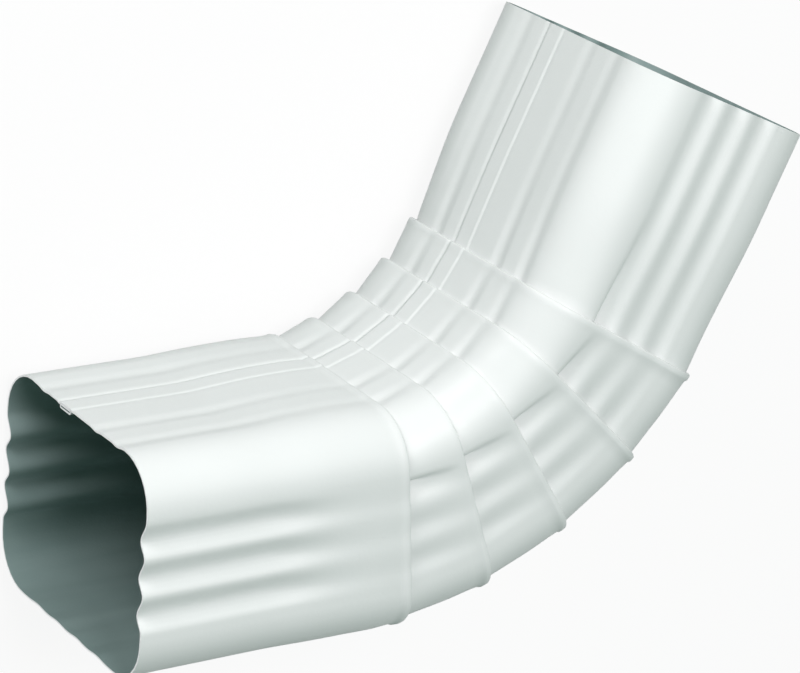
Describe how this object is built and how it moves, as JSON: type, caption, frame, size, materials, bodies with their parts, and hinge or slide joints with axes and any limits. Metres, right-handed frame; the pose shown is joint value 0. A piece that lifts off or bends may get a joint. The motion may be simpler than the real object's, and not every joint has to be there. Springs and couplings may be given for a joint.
{
  "type": "downspout elbow",
  "caption": "White rectangular downspout elbow of pleated, corrugated aluminium sheet that turns roof water away from a wall.",
  "frame": {"origin": "middle of the outlet's open end", "axes": "+X up the outlet leg from its mouth into the bend, +Y to the throat side of the bend, +Z across the wide faces; the bend lies level, so the elbow rests on one narrow side"},
  "size_m": [0.216, 0.1618, 0.0852],
  "materials": {
    "painted_sheet": "satin white paint outside, dark primer inside"
  },
  "bodies": {
    "root": {"elbow": "painted_sheet"}
  },
  "joints": []
}
